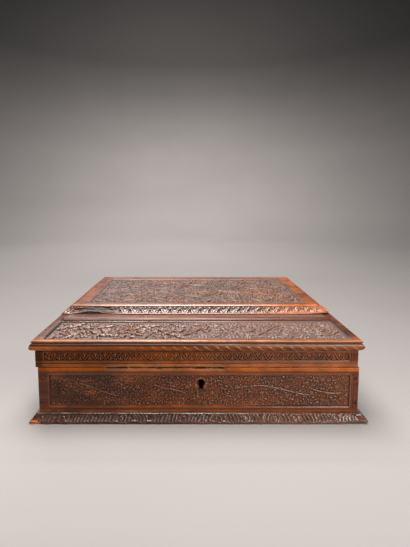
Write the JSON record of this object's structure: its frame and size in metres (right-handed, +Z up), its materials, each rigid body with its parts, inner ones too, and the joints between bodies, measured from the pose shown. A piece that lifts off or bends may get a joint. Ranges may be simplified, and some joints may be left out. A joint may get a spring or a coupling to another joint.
{
  "type": "carved wooden box",
  "caption": "Low rectangular box of carved wood with a lock, a hinged lid with a rope moulding, and a flap over a shallow tray in the lid, on a carved base moulding.",
  "frame": {"origin": "middle of the underside of the whole box, on the surface it stands on", "axes": "+X to the right seen from the front, along the longest side; -Y is the front with the keyhole; +Z is up"},
  "size_m": [0.4, 0.289, 0.11],
  "materials": {
    "carved_fruitwood": "dark red-brown fruitwood, densely carved, waxed, worn to orange on the high edges",
    "smooth_fruitwood": "smooth waxed fruitwood, worn orange-brown",
    "plain_inner_wood": "bare dry wood, darkened by age",
    "wrought_iron": "dark hand-forged iron with a dull, slightly rusty surface"
  },
  "bodies": {
    "case": {"back_board": "smooth_fruitwood", "base_moulding_front": "carved_fruitwood", "base_moulding_left": "carved_fruitwood", "base_moulding_right": "carved_fruitwood", "bottom_board": "plain_inner_wood", "front_board": "carved_fruitwood", "left_board": "carved_fruitwood", "lid_hinge_left_case_leaf": "wrought_iron", "lid_hinge_left_case_nail_inner": "wrought_iron", "lid_hinge_left_case_nail_outer": "wrought_iron", "lid_hinge_left_pin": "wrought_iron", "lid_hinge_right_case_leaf": "wrought_iron", "lid_hinge_right_case_nail_inner": "wrought_iron", "lid_hinge_right_case_nail_outer": "wrought_iron", "lid_hinge_right_pin": "wrought_iron", "lock_cover": "wrought_iron", "lock_nail_left": "wrought_iron", "lock_nail_right": "wrought_iron", "lock_plate": "wrought_iron", "lock_spring": "wrought_iron", "peg_left_lower": "plain_inner_wood", "peg_left_upper": "plain_inner_wood", "peg_right_lower": "plain_inner_wood", "peg_right_upper": "plain_inner_wood", "right_board": "carved_fruitwood"},
    "lid": {"flap_hinge_left_lid_leaf": "wrought_iron", "flap_hinge_left_lid_nail": "wrought_iron", "flap_hinge_left_pin": "wrought_iron", "flap_hinge_right_lid_leaf": "wrought_iron", "flap_hinge_right_lid_nail": "wrought_iron", "flap_hinge_right_pin": "wrought_iron", "front_strip": "carved_fruitwood", "lid_back_rail": "smooth_fruitwood", "lid_floor": "plain_inner_wood", "lid_front_rail": "carved_fruitwood", "lid_hinge_left_lid_leaf": "wrought_iron", "lid_hinge_left_lid_nail_inner": "wrought_iron", "lid_hinge_left_lid_nail_outer": "wrought_iron", "lid_hinge_right_lid_leaf": "wrought_iron", "lid_hinge_right_lid_nail_inner": "wrought_iron", "lid_hinge_right_lid_nail_outer": "wrought_iron", "lid_left_rail": "carved_fruitwood", "lid_right_rail": "carved_fruitwood", "lid_staple": "wrought_iron", "rear_strip": "smooth_fruitwood", "rope_moulding_front": "carved_fruitwood", "rope_moulding_left": "carved_fruitwood", "rope_moulding_right": "carved_fruitwood", "sill_bead": "smooth_fruitwood", "staple_nail_left": "wrought_iron", "staple_nail_right": "wrought_iron"},
    "flap": {"flap_hinge_left_flap_leaf": "wrought_iron", "flap_hinge_left_flap_nail": "wrought_iron", "flap_hinge_right_flap_leaf": "wrought_iron", "flap_hinge_right_flap_nail": "wrought_iron", "flap_ledge": "carved_fruitwood", "flap_moulding_left": "smooth_fruitwood", "flap_moulding_right": "smooth_fruitwood", "flap_panel": "carved_fruitwood"},
    "bolt": {"lock_bolt": "wrought_iron"}
  },
  "joints": [
    {"name": "lid_hinge", "type": "hinge", "parent": "case", "child": "lid", "pos_m": [0, 0.142, 0.065], "axis": [-1, 0, 0], "range_deg": [0, 100]},
    {"name": "flap_hinge", "type": "hinge", "parent": "lid", "child": "flap", "pos_m": [0, 0.1313, 0.1019], "axis": [-1, 0, 0], "range_deg": [0, 100]},
    {"name": "bolt_slide", "type": "slide", "parent": "case", "child": "bolt", "axis": [1, 0, 0], "range_m": [0, 0.006]}
  ]
}
